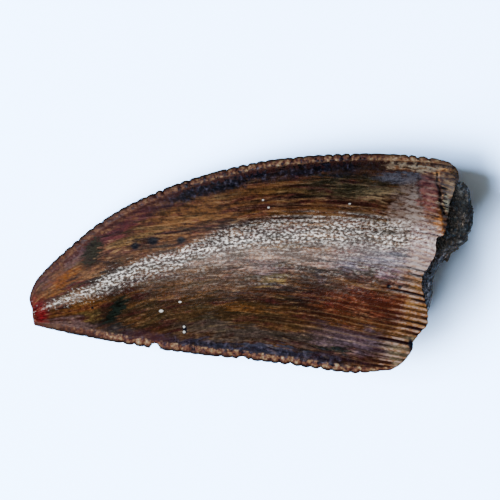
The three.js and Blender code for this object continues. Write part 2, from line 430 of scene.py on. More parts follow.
# %% Both faces into the skin
skin = Skin()
outer_points, outer_channels = face(outer_stations, OUTER_STEPS, 1)
outer_rows = skin.add(outer_points, **outer_channels)
skin.sheet(outer_rows)
inner_points, inner_channels = face(inner_stations, INNER_STEPS, -1)
inner_points = inner_points[:, ::-1]
inner_rows = skin.add(inner_points, **{k: v[:, ::-1] for k, v in inner_channels.items()})
skin.sheet(inner_rows)
print("faces:", outer_rows.shape, inner_rows.shape)

# %% [markdown]
# ## The toothed keels
# A keel is a narrow blade along each edge of the crown. Its denticles are rounded chisels set side
# by side, about two to the millimetre, with thin slots between them. An array of one denticle along
# a curve would make them all alike, so here a wave along the keel cuts the slots, and noise changes
# each one. The slots cut the blade's outline and both its sides. Towards the tip the denticles are
# worn away, and a nick and two smaller chips break the rear row.

# %% A toothed keel
KEEL_ROWS = 5
STEPS_PER_DENTICLE = 12
DENTICLE_HEIGHT = 0.09
SLOT_DEPTH = 0.035
FRONT_DENTICLES, REAR_DENTICLES = 48, 36
FRONT_GROWTH, REAR_GROWTH = 0.015, 0.1
# Each chip: its share along, its reach to the tip and to the break, and its depth in millimetres
CHIPS = [(0.343, 0.015, 0.013, 0.3), (0.588, 0.015, 0.014, 0.16), (0.72, 0.012, 0.016, 0.06)]


def chip_depth(along):
    depths = []
    for at, tip_side, break_side, depth in CHIPS:
        away = np.abs(along - at) / np.where(along < at, tip_side, break_side)
        depths.append(depth * np.sqrt(np.maximum(0, 1 - away)))
    return np.max(depths, axis=0)


def keel(line, count, outward, outer_root, inner_root):
    """A toothed blade from the line to both faces: its own stations, and its rows of points."""
    along = np.linspace(0, 1, count * STEPS_PER_DENTICLE + 1)
    phase = along * count + 0.45 * ripple(along * count * 0.35, 0.5 + outward, 1.1)
    number = np.floor(phase + 0.5)
    uneven = np.clip(0.8 + 1.5 * ripple(number * 0.61 + 0.5, 0.5 + outward, 3.3), 0.1, 1.7)
    denticle = np.abs(np.sin(np.pi * phase)) ** 0.45
    worn = smooth(0.02, 0.12, along) * smooth(0, 0.03, 1 - along)
    slot = (1 - denticle) * worn
    chipped = chip_depth(along) if outward < 0 else np.zeros_like(along)
    ragged = 0.02 * ripple(along * count * 1.7, 2.5 + outward, 6.1) * worn
    growth = REAR_GROWTH * smooth(1, 0.9, along) if outward < 0 else FRONT_GROWTH * worn
    reach = ragged - DENTICLE_HEIGHT * slot * uneven - chipped + growth
    crest = line.beside(along, outward * reach)
    middle = middle_height(along)
    rows = []
    for side, root, shares in ((1, outer_root, outer_stations), (-1, inner_root, inner_stations)):
        root = np.stack([np.interp(along, shares, root[:, k]) for k in range(3)], -1)
        edge = np.column_stack([crest, np.maximum(middle + side * CREST_HALF, 0)])
        for step in range(1, KEEL_ROWS + 1):
            share = step / KEEL_ROWS
            point = root + (edge - root) * share
            lump = ripple(point[:, 0] * 3.5, point[:, 1] * 3.5, side * 1.5)
            hump = 0.02 * np.sin(np.pi * share) * (denticle + lump) * worn
            hump = hump - SLOT_DEPTH * slot * uneven * share
            point[:, 2] = np.maximum(point[:, 2] + side * hump, 0)
            rows.append((side, share, point))
    rows.sort(key=lambda row: (-row[0], row[1] * row[0]))
    numbers, one = [], np.ones_like(along)
    for side, share, point in rows:
        numbers.append(skin.add(
            point,
            plan=np.column_stack([point[:, :2], one * side]),
            fibre=np.column_stack([along * FIBRE_LENGTH, point[:, 1], one * outward]),
            inset=np.column_stack([along, one * -share, one * -share]),
            keel=np.column_stack([one * share, denticle * worn + 1 - worn, one * 0]),
        ))
    return along, np.array(numbers)


print("denticles:", FRONT_DENTICLES, "front,", REAR_DENTICLES, "rear, and chips:", len(CHIPS))

# %% Both keels into the skin
front_along, front_rows = keel(
    front_keel, FRONT_DENTICLES, 1, outer_points[:, -1], inner_points[:, 0])
rear_along, rear_rows = keel(
    rear_keel, REAR_DENTICLES, -1, outer_points[:, 0], inner_points[:, -1])
skin.sheet(front_rows[::-1])
skin.zip(inner_rows[:, 0], front_rows[-1], inner_stations, front_along)
skin.zip(front_rows[0], outer_rows[:, -1], front_along, outer_stations)
skin.sheet(rear_rows)
skin.zip(outer_rows[:, 0], rear_rows[0], outer_stations, rear_along)
skin.zip(rear_rows[-1], inner_rows[:, -1], rear_along, inner_stations)
print("denticle pitch, mm:", round(front_keel.length / FRONT_DENTICLES, 3),
      round(rear_keel.length / REAR_DENTICLES, 3))

# %% [markdown]
# ## Loops at the two ends
# The crown's skin is open at the tip and at the base. A bridge tool could close each hole, but
# rings of our own, which shrink towards a middle, can be shaped on the way. The pulp cavity is a
# loop too: an oval around the middle of the break.

# %% Loops
CAVITY_FROM, CAVITY_TO, CAVITY_HALF, CAVITY_LIFT, CAVITY_INSET = 0.28, 0.9, 1.45, 0.2, 0.15
RING = 420


def cavity_ring(t, margin, depth, scale=1.0):
    """A loop around the pulp cavity: inside its wall by margin, and below its mouth by depth."""
    across = np.where(t <= 0.5, 2 * t, 2 - 2 * t)
    side = np.where(t <= 0.5, 1, -1)
    half_span = (CAVITY_TO - CAVITY_FROM) / 2 - margin / outer_break.length
    place = (CAVITY_TO + CAVITY_FROM) / 2 + scale * half_span * (2 * across - 1)
    edge = (outer_break.at(place) + inner_break.at(place)) / 2
    round_off = np.sqrt(np.maximum(0, 1 - (2 * across - 1) ** 2))
    height = scale * side * (CAVITY_HALF - margin) * round_off
    z = float(middle_height(np.array(1.0))) + CAVITY_LIFT + height
    return np.stack([edge[:, 0] - CAVITY_INSET - depth, edge[:, 1], z], -1)


def rim(at):
    """The crown's own loop of points at one end, and the share of the way round of each."""
    outer = [rear_rows[:KEEL_ROWS, at][::-1], outer_rows[at], front_rows[:KEEL_ROWS, at]]
    inner = [front_rows[KEEL_ROWS:, at], inner_rows[at], rear_rows[KEEL_ROWS:, at][::-1]]
    outer, inner = np.concatenate(outer), np.concatenate(inner)
    shares = [np.linspace(0, 0.5, len(outer)), np.linspace(0.5, 1, len(inner))]
    return np.concatenate([outer, inner]), np.concatenate(shares)


def rim_ring(numbers, t):
    """The rim again, as RING points at even shares."""
    points = np.vstack(skin.points)[numbers]
    ring_t = np.arange(RING) / RING
    return ring_t, np.stack([np.interp(ring_t, t, points[:, k]) for k in range(3)], -1)


def close_end(numbers, t, rings):
    """Joins a rim to rings that all have RING points, and the last ring to its middle."""
    ring_t = np.append(np.arange(RING) / RING, 1)
    loops = [skin.add(points, **channels) for points, channels in rings]
    loops = [np.append(loop, loop[0]) for loop in loops]
    past_end = 1.0001  # so that the ring comes to its end first
    skin.zip(np.append(numbers, numbers[0]), loops[0], np.append(t, past_end), ring_t)
    skin.sheet(np.array(loops))
    points, channels = rings[-1]
    middle = skin.add(points.mean(0)[None], **{k: v[:1] for k, v in channels.items()})
    skin.faces += [[int(a), int(b), int(middle[0])] for a, b in zip(loops[-1][:-1], loops[-1][1:])]


tip_numbers, tip_t = rim(0)
base_numbers, base_t = rim(-1)
print("points round the tip and the base:", len(tip_numbers), len(base_numbers))

# %% [markdown]
# ## The worn tip
# The point of the tooth was worn off in use. A cone would end in a sharp point, so the rings move
# quickly outwards at first and then hardly at all, which rounds them over into a small facet.

# %% Tip
TIP_SHRINKS = (0.04, 0.12, 0.25, 0.45, 0.7)
TIP_REACH = 0.1

ring_t, tip_edge = rim_ring(tip_numbers, tip_t)
tip_middle = tip_edge.mean(0)
tip_rings = []
for shrink in TIP_SHRINKS:
    points = tip_edge + (tip_middle - tip_edge) * shrink
    lumps = 0.02 * ripple(points[:, 1] * 6, points[:, 2] * 6)
    points[:, 0] -= TIP_REACH * (1 - (1 - shrink) ** 4) + lumps
    tip_rings.append((points, {
        "plan": np.column_stack([points[:, :2], np.sign(points[:, 2] - tip_middle[2])]),
        "fibre": np.column_stack([np.zeros(RING), points[:, 1], points[:, 2]]),
        "inset": np.full((RING, 3), (0, 1.0, 1.0)),
        "keel": np.full((RING, 3), (0, 1.0, 0)),
    }))
close_end(tip_numbers, tip_t, tip_rings)
print("facet, mm:", round(float(np.ptp(points[:, 1])), 2), round(float(np.ptp(points[:, 2])), 2))

# %% [markdown]
# ## The broken base
# Seen from its end, the break is a thin rim of enamel, then rough dentine, then the mouth of the
# pulp cavity. A Boolean cut would leave one flat face. Rings can step down behind the rim, carry
# grit, and turn into the cavity, where the rock plug hides their end. The broken channel tells the
# finish where dentine begins.

# %% Break
BREAK_SHARES = (0.03, 0.08, 0.12, 0.2, 0.3, 0.42, 0.55, 0.68, 0.8, 0.9, 1.0)
CAVITY_WALL = ((0.06, 0.15), (0.2, 0.4), (0.5, 0.7))
GRIT_SIZE, RIM_STEP = 0.13, 0.12

ring_t, base_edge = rim_ring(base_numbers, base_t)
mouth = cavity_ring(ring_t, 0, 0)
base_rings = []
for share in BREAK_SHARES:
    points = base_edge + (mouth - base_edge) * share
    y, z = points[:, 1], points[:, 2]
    grit = ripple(y * 2.3, z * 2.3, 1) + 0.5 * ripple(y * 6, z * 6, 2)
    step = RIM_STEP * smooth(0.08, 0.14, share) * (1 - share)
    points[:, 0] += GRIT_SIZE * math.sin(math.pi * share) * grit - step
    layer = np.full(RING, float(smooth(0.06, 0.13, share)))
    base_rings.append((points, {
        "plan": np.column_stack([points[:, :2], np.ones(RING)]),
        "fibre": np.column_stack([z, y, points[:, 0]]),
        "inset": np.full((RING, 3), (1, 2.0, 2.0)),
        "keel": np.full((RING, 3), (0, 1.0, 0)),
        "broken": np.column_stack([layer, np.zeros(RING), np.zeros(RING)]),
    }))
for margin, depth in CAVITY_WALL:
    base_rings.append((cavity_ring(ring_t, margin, depth), base_rings[-1][1]))
close_end(base_numbers, base_t, base_rings)
print("crown points:", skin.count)

# %% [markdown]
# ## Place the crown
# The skin is drawn from the tip, and the frame has its own origin, so the skin is moved by the
# difference between the solid's low corner in the two of them. Normals are made to agree, which
# leaves the rock facing outwards but the crown facing inwards: its signed volume prints below 0.
# Edges sharper than 55 degrees stay hard, which keeps the broken rim crisp.

# %% Crown piece
DRAWN_LOW = (0.0097, -5.03)  # where the solid's low corner lies in the drawing
CROWN_SHARP, ROCK_SHARP = 55, 180  # in degrees
shift = np.array([crown_low.x / MM - DRAWN_LOW[0], crown_low.y / MM - DRAWN_LOW[1], 0])
crown = skin.piece("crown_enamel", shift)


def finish_mesh(piece, sharp_angle):
    shape = bmesh.new()
    shape.from_mesh(piece.data)
    bmesh.ops.recalc_face_normals(shape, faces=shape.faces)
    shape.to_mesh(piece.data)
    open_edges = sum(not edge.is_manifold for edge in shape.edges)
    volume = shape.calc_volume(signed=True)
    shape.free()
    piece.data.set_sharp_from_angle(angle=math.radians(sharp_angle))
    print(piece.name, "open edges", open_edges, "volume, mm3:", round(volume / MM**3, 1))


finish_mesh(crown, CROWN_SHARP)
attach(crown, "root")
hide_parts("crown")

# %% [markdown]
# ## The rock plug
# Sediment filled the pulp cavity and turned to stone. It reaches out of the break as a rounded
# lump, and down along the break as a thin crust. It is made of rings around the cavity mouth that
# shrink as they come out, and is then roughened with four sizes of noise, because a broken
# sandstone face has lumps, pits and grains at once. The two larger sizes take the noise's distance
# from zero, which gives sharp creases between round lumps. A displace modifier could do the
# roughening, but moving the points here keeps the lump's reach under control.

# %% Rock plug
ROCK_TURNS, ROCK_RINGS = 260, 64
LUMP_REACH, STRIP_REACH = 1.85, 0.9
ROCK_ROOT = ((0.3, 1.0), (0.3, 0.7), (0.1, 0.5), (-0.04, 0.3), (-0.06, 0.05))
# Size in millimetres, and noise cells to the millimetre
ROCK_LUMPS, ROCK_GRAINS = ((0.35, 1.1), (0.25, 3.1)), ((0.1, 6), (0.05, 12))


def rock_reach(y):
    return STRIP_REACH + (LUMP_REACH - STRIP_REACH) * smooth(0.4, 1.5, y)


def rock_lump():
    rock = Skin()
    t = np.arange(ROCK_TURNS) / ROCK_TURNS
    rings = [cavity_ring(t, margin, depth) for margin, depth in ROCK_ROOT]
    for turn in np.linspace(0.05, 0.97, ROCK_RINGS) * math.pi / 2:
        ring = cavity_ring(t, -0.05, 0, math.cos(turn))
        ring[:, 0] += CAVITY_INSET + rock_reach(ring[:, 1]) * math.sin(turn)
        rings.append(ring)
    rings = np.array(rings)
    out = rings - rings.mean((0, 1))
    out /= np.linalg.norm(out, axis=-1)[..., None]
    x, y, z = rings[..., 0], rings[..., 1], rings[..., 2]
    rough = 0
    for size, cells in ROCK_LUMPS:
        rough = rough + size * (np.abs(ripple(x * cells, y * cells, z * cells + 7)) - 0.2)
    for size, cells in ROCK_GRAINS:
        rough = rough + size * ripple(x * cells, y * cells, z * cells)
    rings = rings + out * (rough * smooth(0, 5, np.arange(len(rings)))[:, None])[..., None]
    numbers = rock.add(rings, plan=rings)
    numbers = np.concatenate([numbers, numbers[:, :1]], axis=1)
    rock.sheet(numbers)
    for at in (0, -1):
        centre = rings[at].mean(0)[None]
        middle = rock.add(centre, plan=centre)[0]
        rock.faces += [[int(a), int(b), int(middle)]
                       for a, b in zip(numbers[at][:-1], numbers[at][1:])]
    return rock


plug = rock_lump().piece("matrix_rock", shift)
finish_mesh(plug, ROCK_SHARP)
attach(plug, "root")
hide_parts("matrix_plug")
print("plug reaches, mm:", round(max(v.co.x for v in plug.data.vertices) / MM, 2))

# %% [markdown]
# ## Shader maths
# A finish is easier to read as a formula than as a web of nodes. One small class wraps a socket, so
# that a * b + c makes the Math nodes by itself. Any other node comes from the node method, with
# its settings first and its inputs after.

# %% Wires
class Wire:
    """An output socket that can be used in an expression."""

    def __init__(self, tree, socket):
        self.tree, self.socket = tree, socket

    def node(self, kind, settings=None, inputs=None, output=0):
        made = self.tree.nodes.new(kind)
        for name, value in (settings or {}).items():
            if name == "stops":
                set_stops(made.color_ramp, value)
            else:
                setattr(made, name, value)
        for name, value in (inputs or {}).items():
            if isinstance(value, Wire):
                self.tree.links.new(value.socket, made.inputs[name])
            else:
                made.inputs[name].default_value = value
        return Wire(self.tree, made.outputs[output])

    def maths(self, operation, first, second=0.0):
        return self.node("ShaderNodeMath", {"operation": operation}, {0: first, 1: second})

    def __add__(self, other):
        return self.maths("ADD", self, other)

    def __sub__(self, other):
        return self.maths("SUBTRACT", self, other)

    def __rsub__(self, other):
        return self.maths("SUBTRACT", other, self)

    def __mul__(self, other):
        return self.maths("MULTIPLY", self, other)

    def __truediv__(self, other):
        return self.maths("DIVIDE", self, other)

    def __rtruediv__(self, other):
        return self.maths("DIVIDE", other, self)

    def __neg__(self):
        return self.maths("MULTIPLY", self, -1.0)

    def __abs__(self):
        return self.maths("ABSOLUTE", self)

    __radd__ = __add__
    __rmul__ = __mul__

    def smooth(self, low, high, to_low=0.0, to_high=1.0):
        """A soft step: to_low where this value is low, and to_high where it is high."""
        ends = {"From Min": low, "From Max": high, "To Min": to_low, "To Max": to_high}
        settings = {"interpolation_type": "SMOOTHSTEP"}
        return self.node("ShaderNodeMapRange", settings, {"Value": self, **ends})

    def vector(self, operation, other=(0, 0, 0), output=0):
        settings = {"operation": operation}
        return self.node("ShaderNodeVectorMath", settings, {0: self, 1: other}, output)

    def part(self, axis):
        return self.node("ShaderNodeSeparateXYZ", None, {0: self}, axis)

    def parts(self):
        """All three parts from one node, which is kinder to the renderer than three nodes."""
        split = self.part(0).socket.node
        return [Wire(self.tree, socket) for socket in split.outputs]

    def noise(self, stretch, detail=3.0, roughness=0.55, shift=0.0):
        """Noise from 0 to 1 at this place, with its cells per mm along each axis."""
        place = self.vector("MULTIPLY", stretch).vector("ADD", (shift, shift * 0.7, shift * 1.3))
        inputs = {"Vector": place, "Scale": 1.0, "Detail": detail, "Roughness": roughness}
        return self.node("ShaderNodeTexNoise", None, inputs)

    def ellipse(self, x, y, length, width, turn=0.0):
        """How far out this place lies in an ellipse: 0 at its middle, and 1 at its edge."""
        return self.node("ShaderNodeMapping", {"vector_type": "TEXTURE"}, {
            "Vector": self, "Location": (x, y, 0), "Rotation": (0, 0, math.radians(turn)),
            "Scale": (length, width, 1),
        }).vector("LENGTH", output=1)

    def colour(self, off, on):
        """The colour off where this value is 0, and on where it is 1. Either can be a hex code."""
        off, on = (hexed(side) if isinstance(side, str) else side for side in (off, on))
        settings = {"data_type": "RGBA", "clamp_factor": True}
        return self.node("ShaderNodeMix", settings, {0: self, 6: off, 7: on}, 2)

    def shaded(self, colour):
        """A colour made darker or lighter by this value."""
        settings = {"data_type": "RGBA", "blend_type": "MULTIPLY"}
        return self.node("ShaderNodeMix", settings, {0: 1.0, 6: colour, 7: self}, 2)

    def ramp(self, *stops, light=None):
        """A colour for each value, from stops that are a value and a hex code."""
        colours = [(value, hexed(code, light or STUDIO_LIGHT)) for value, code in stops]
        return self.node("ShaderNodeValToRGB", {"stops": colours}, {0: self})


def set_stops(ramp, stops):
    while len(ramp.elements) < len(stops):
        ramp.elements.new(0.5)
    for element, (position, colour) in zip(ramp.elements, stops):
        element.position, element.color = position, colour


print("a wire can be added, subtracted, multiplied and divided")

# %% [markdown]
# ## Colours and finishes
# The lamps are strong, so that even a thin gloss shows them, and a colour under them looks much
# lighter than it is. So a colour is given by the hex code that it should look like, and is divided
# by the light on it: less light for a place that lies in shade, and more for one that faces a lamp.
# A finish is one Principled shader and the channels of the skin as wires.

# %% Finishes
STUDIO_LIGHT = 13.0


def hexed(code, light=STUDIO_LIGHT):
    """The linear colour that looks like this hex code in the given light."""
    parts = [int(code[k:k + 2], 16) / 255 for k in (0, 2, 4)]
    parts = [p / 12.92 if p <= 0.04045 else ((p + 0.055) / 1.055) ** 2.4 for p in parts]
    return tuple(p / light for p in parts) + (1.0,)


def socket_name(word):
    return word.replace("_", " ").title().replace("Ior", "IOR")


class Finish:
    """A node material with one Principled shader, and the channels of the skin as wires."""

    def __init__(self, name, **settings):
        self.material = bpy.data.materials.new(name)
        self.material.use_nodes = True
        self.tree = self.material.node_tree
        self.shader = self.tree.nodes["Principled BSDF"]
        for word, value in settings.items():
            self.shader.inputs[socket_name(word)].default_value = value

    def channel(self, name):
        made = self.tree.nodes.new("ShaderNodeAttribute")
        made.attribute_name = name
        return Wire(self.tree, made.outputs["Vector"])

    def set(self, **wires):
        for word, wire in wires.items():
            self.tree.links.new(wire.socket, self.shader.inputs[socket_name(word)])

    def tell(self, step):
        print(f"{self.material.name}, {step}: {len(self.tree.nodes)} nodes so far")


print("studio brown:", [round(part, 4) for part in hexed("6e4526")])

# %% [markdown]
# ## Enamel: noises and base colour
# The enamel of a buried tooth takes up iron and manganese, so its brown is never one colour:
# streaks follow the fibres from the tip to the base, and other changes lie in plan. A painted image
# could hold them, but noise that is stretched along the fibre channel has no pixels and needs no
# unwrapping. A few noises are made once here, and every later step reads them, because the renderer
# has room for only so many nodes in one material.

# %% Noises and base colour
enamel = Finish("enamel", ior=1.5, specular_ior_level=0.05, coat_roughness=0.12)
place, fibre = enamel.channel("plan"), enamel.channel("fibre")
along, front, rear = enamel.channel("inset").parts()
blade, tooth, crack = enamel.channel("keel").parts()
fracture, scar, groove = enamel.channel("broken").parts()
ridge, ridge_depth = enamel.channel("lane").parts()[:2]

sway = fibre.node("ShaderNodeCombineXYZ", None, {
    1: (fibre.noise((0.3, 0.5, 1), 2, 0.5, 9.0) - 0.5) * 0.5,
})
waved = fibre.vector("ADD", sway)
streak = waved.noise((0.5, 4.6, 1), 3, 0.6)
band = waved.noise((0.15, 1.6, 1), 3, 0.5, 7.0)
thread = waved.noise((1.3, 9, 1), 3, 0.7, 3.0)
mottle = place.noise((3.2, 5, 4), 3, 0.7, 5.0)
tinge = waved.noise((0.7, 3, 1), 3, 0.6, 13.0)
cloud = place.noise((0.7, 0.7, 0.7), 3, 0.6, 11.0)
streak_swing, thread_swing, mottle_swing, cloud_swing = (
    wire - 0.5 for wire in (streak, thread, mottle, cloud))

colour = (band * 0.5 + streak * 0.5).ramp(
    (0.34, "2a1814"), (0.46, "40241a"), (0.54, "543018"), (0.66, "6e4624"))
enamel.tell("streaked")

# %% [markdown]
# ## Enamel: stains
# Each stain is a soft ellipse with a name, a place and a size. Painting them on would give clean
# edges, so the place that the ellipses read is first pulled about by the streaks, and a stain
# looks soaked in along the fibres. They are laid in the order of the table.

# %% Stains
# name: (x, y, half length, half width, turn in degrees, colour, strength), in millimetres
STAINS = {
    "brown below the sheen": (9.0, 0.4, 3.68, 0.63, 0, "6e4526", 0.5),
    "olive body": (9.1, -1.3, 5.0, 1.16, -10, "46301c", 0.85),
    "red-brown heart": (17.8, -1.4, 3.05, 1.05, -12, "6a2e1c", 0.8),
    "mauve heart": (18.2, 0.4, 2.11, 0.47, -18, "6c4656", 0.6),
    "mauve belly": (17.3, -3.4, 3.05, 0.74, -16, "6c565e", 0.8),
    "amber shoulder": (9.3, 4.2, 3.16, 0.63, 8, "6e4420", 0.6),
    "far amber shoulder": (14.2, 4.9, 3.16, 0.42, -2, "664220", 0.6),
    "ochre streak": (6.1, 3.2, 2.11, 0.3, 12, "70502a", 0.7),
    "plum shoulder": (5.2, 3.9, 2.2, 0.42, 26, "4a1c1e", 0.9),
    "olive shade": (17.3, 4.8, 3.16, 0.68, -8, "2d281a", 0.9),
    "brown of the tip": (2.6, 0.2, 1.37, 0.63, 0, "7c4a20", 0.8),
    "amber of the tip": (1.75, 1.3, 1.5, 0.42, 34, "703800", 0.95),
    "mauve rim of the tip": (0.8, 1.7, 1.5, 0.24, 46, "40242a", 0.95),
    "grey underside of the tip": (2.1, -1.1, 1.89, 0.32, -14, "7a5850", 0.85),
    "ochre by the tip": (2.9, -0.6, 0.79, 0.26, -6, "7c6030", 0.6),
    "green-black foot": (4.5, -1.5, 1.05, 0.37, -6, "2c302c", 0.8),
    "brown above the tip's sheen": (3.5, 1.6, 0.9, 0.3, 20, "8a5a34", 0.7),
    "mauve shoulder of the tip": (2.86, 2.84, 1.3, 0.35, 42, "54363a", 0.8),
    # Painted reflection: a lavender tint under the sheen.
    "painted lavender of the sheen": (17.9, 1.0, 2.4, 0.6, -8, "8c8494", 0.7),
    "orange patch": (11, -1, 1.16, 0.21, -6, "8a5020", 0.45),
    "yellow patch": (13, 0.4, 0.7, 0.25, 0, "a08248", 0.45),
    "mauve patch": (12.3, 1, 0.95, 0.37, -6, "8a6a6c", 0.5),
    "dark upright": (15.1, 0.3, 0.26, 0.79, -6, "37282e", 0.7),
    "green-black belly": (15.3, -3.8, 1.05, 0.37, -10, "242e2a", 0.85),
    "grey belly": (11.5, -2.4, 4.4, 0.4, -12, "5a4a40", 0.7),
    "blue-black hem": (11.5, -3.2, 4.47, 0.26, -12, "54505e", 0.9),
    "black clot": (10.8, 5.6, 1.05, 0.37, 6, "040406", 1.0),
    "amber comb": (20.3, -1.7, 0.75, 2.0, -6, "8f5e2a", 0.8),
    "tan corner": (19.1, -4, 0.84, 0.79, -6, "8d7756", 0.85),
    "plum line of the tip": (2.3, 0.85, 1.6, 0.16, 20, "5c1a1c", 0.9),
    # Partly real tan, partly painted in place of the sheen's lower fade.
    "tan band and painted sheen fade": (13.5, 1.5, 6.5, 0.55, -3, "906a58", 0.75),
    "dun shoulder": (19.0, 4.3, 1.3, 0.4, -4, "8c7050", 0.6),
    "red tip": (0.35, -0.25, 0.95, 0.85, -6, "781618", 1.0),
}
SOAKED_IN, STAIN_EDGE, STAIN_CORE = 3.0, 1.3, 0.4

pull = place.node("ShaderNodeCombineXYZ", None, {
    0: cloud_swing * SOAKED_IN,
    1: streak_swing * 2.0 + thread_swing * 0.6 + cloud_swing * 0.8,
    2: 0.0,
})
exact = place.vector("MULTIPLY", (1, 1, 0))
soaked = exact.vector("ADD", pull)
for *ellipse, code, strength in STAINS.values():
    inside = soaked.ellipse(*ellipse).smooth(STAIN_EDGE, STAIN_CORE, 0.0, strength)
    colour = inside.colour(colour, code)
enamel.tell(f"{len(STAINS)} stains")

# %% [markdown]
# ## Enamel: threads and shade
# Fine threads of plum, olive and tan run through the stains. Then one value makes the colour darker
# or lighter as a whole. It sums noises of several sizes, which would each be too even alone, and
# it is stronger towards the front keel. It also makes the colour lighter towards the front keel:
# painted light, because the lamps light that slope less. Last come dark and pale lines in the
# ridges' own lanes.

# %% Threads and shade
PLUM_THREAD, OLIVE_THREAD, TAN_THREAD = "4a1a1e", "38331e", "9a7650"
MIDDLE_SHADE, DARKEST, LIGHTEST = 0.62, 0.48, 2.36

colour = tinge.smooth(0.52, 0.66, 0, 0.5).colour(colour, PLUM_THREAD)
colour = tinge.smooth(0.47, 0.34, 0, 0.4).colour(colour, OLIVE_THREAD)
colour = thread.smooth(0.55, 0.7, 0, 0.3).colour(colour, TAN_THREAD)
fine = thread_swing * (along.smooth(0.4, 0.8, 2.0, 3.2) + rear.smooth(2.5, 5.0, 0, 4.0))
across = rear / (rear + front)
shade = (streak_swing * rear.smooth(2.0, 6.0, 1.6, 3.6)
         + mottle_swing * rear.smooth(2.0, 6.0, 1.5, 3.4) + fine)
# Painted light: lighter towards the front keel, which the lamps light less.
shade = (shade + across.smooth(0.4, 0.95, 0, 0.85)
         + (place.noise((6, 10, 6), 2, 0.7, 31.0) - 0.5) * 3.2 + MIDDLE_SHADE)
colour = shade.smooth(0.0, 2.6, DARKEST, LIGHTEST).shaded(colour)
lane = ridge_depth.smooth(0.4, 1.1)
colour = ((1 - ridge) * lane * along.smooth(0.5, 0.85, 0, 0.55)).colour(colour, "2c0e0a")
colour = (ridge.smooth(0.75, 1.0) * lane * along.smooth(0.5, 0.9, 0, 0.4)).colour(colour, "96704a")
enamel.tell("threads and shade")

# %% [markdown]
# ## Enamel: sediment beside the keels
# Dark blue-grey sediment clings in the hollow beside each keel, widest by the front one. A row of
# ellipses could follow the keel, but the inset channel already gives the distance from it, so the
# band is one soft step, with a ragged edge because noise is added to the distance. Near the tip the
# band turns plum.

# %% Sediment
FRONT_BAND, REAR_BAND = (0.85, 0.5), (0.5, 0.15)

lumps = place.noise((4, 4, 4), 3, 0.7, 17.0)
silt = lumps.ramp((0.38, "090c12"), (0.5, "1a1c26"), (0.58, "343040"), (0.7, "6e6470"))
front_band = (front + cloud_swing * 1.2 + mottle_swing * 0.7).smooth(*FRONT_BAND)
front_band = (front_band * along.smooth(0.3, 0.42, 0.3, 1.0)
              * along.smooth(0.06, 0.2) * along.smooth(0.9, 0.76, 0, 1))
rear_band = rear.smooth(*REAR_BAND) * along.smooth(0.15, 0.35) * along.smooth(0.97, 0.8)
seam = (front_band + rear_band * 0.75) * (cloud.smooth(0.35, 0.55) * 0.3 + 0.65)
silt = along.smooth(0.42, 0.34, 0, 0.5).colour(silt, "5a3038")
colour = seam.colour(colour, silt)
enamel.tell("sediment")

# %% [markdown]
# ## Enamel: chipped and bleached patches
# In places the enamel itself is chipped, bleached or black, most of all at the base. The bleached
# patches there are partly painted sheen, where the reflection spreads over the ridges. These patches
# are ellipses too, but with a crumbly edge and two colours: a dark one, and a pale one in spots on
# it. They could be cut into the mesh, but the spots are finer than its steps.

# %% Patches
# As the stains, with a dark and a pale colour, the strength, and the light that reaches the place
# A low light paints a patch lighter, as painted light, where it faces away from the lamps.
PATCHES = {
    "dark wedge": (3.5, 2.7, 0.85, 0.45, 66, "060604", "2a2618", 0.95, 13),
    "low dark wedge": (3.95, 2.1, 0.75, 0.15, -20, "140a08", "40241e", 0.9, 13),
    "green-black bar": (4.4, -0.5, 0.95, 0.32, 46, "0a0e0a", "20261e", 0.95, 13),
    "tan hem": (21.2, 5.7, 2.0, 0.46, -12, "a8683c", "f0cca0", 0.85, 9.5),
    "grey hem": (20.2, 4.98, 1.5, 0.3, -6, "46424a", "8c8084", 0.75, 12),
    # Partly bleached enamel, partly painted sheen where the reflection spreads over the base.
    "bleached slope with painted sheen": (20.3, 3.3, 1.0, 1.5, -16, "5c4030", "c0a090", 0.45, 11),
    "bleached ridges with painted sheen": (20.65, 3.3, 0.5, 1.3, -10, "6c5040", "d4b8a8", 0.5, 11),
    "plum scar": (21.4, 4.05, 0.55, 1.0, 0, "602228", "b06c5c", 0.9, 10.5),
    "rusty corner": (22.4, 4.9, 0.5, 0.45, 0, "7c3c1c", "e0a060", 0.9, 3.6),
    "tan lobe": (22.6, 4.2, 0.4, 0.5, 0, "b07030", "f0b070", 0.95, 3.4),
    "pale edge": (22.4, 3.2, 0.16, 0.7, 4, "a88450", "e8cc98", 0.9, 3.6),
    "orange dentine": (21.9, 2.3, 0.26, 0.7, 0, "7c401a", "c0783c", 0.95, 8.5),
    # Partly bleached enamel, partly painted sheen where the reflection spreads over the base.
    "bleached edge with painted sheen": (20.9, 1.35, 0.85, 1.25, -6, "8a5c54", "e4c4bc", 0.85, 14),
    "bleached foot with painted sheen": (20.5, 0.35, 0.5, 0.5, -20, "866258", "e0c6bc", 0.75, 14),
}
PATCH_EDGE, PATCH_CORE = 1.3, 0.7

ragged = place.node("ShaderNodeCombineXYZ", None, {
    0: mottle_swing * 0.9 + thread_swing * 1.6, 1: thread_swing * 0.7 + mottle_swing * 0.5, 2: 0.0,
})
crumbly = exact.vector("ADD", ragged)
spotty = place.noise((4, 7, 5), 3, 0.7, 39.0) * 0.5 + waved.noise((1.8, 8, 1), 2, 0.6, 19.0) * 0.5
spotty = spotty.smooth(0.4, 0.58)
for *ellipse, dark, pale, strength, light in PATCHES.values():
    inside = crumbly.ellipse(*ellipse).smooth(PATCH_EDGE, PATCH_CORE, 0.0, strength)
    colour = inside.colour(colour, hexed(dark, light))
    colour = (inside * spotty).colour(colour, hexed(pale, light))
enamel.tell(f"{len(PATCHES)} patches")

# %% [markdown]
# ## Enamel: crack and ridges at the break
# The crack and the grooves between the ridges are darker, and the ridges' crests are paler.
# These masks could be listed like the stains, but the mesh already knows where its grooves
# are, so its channels give them.

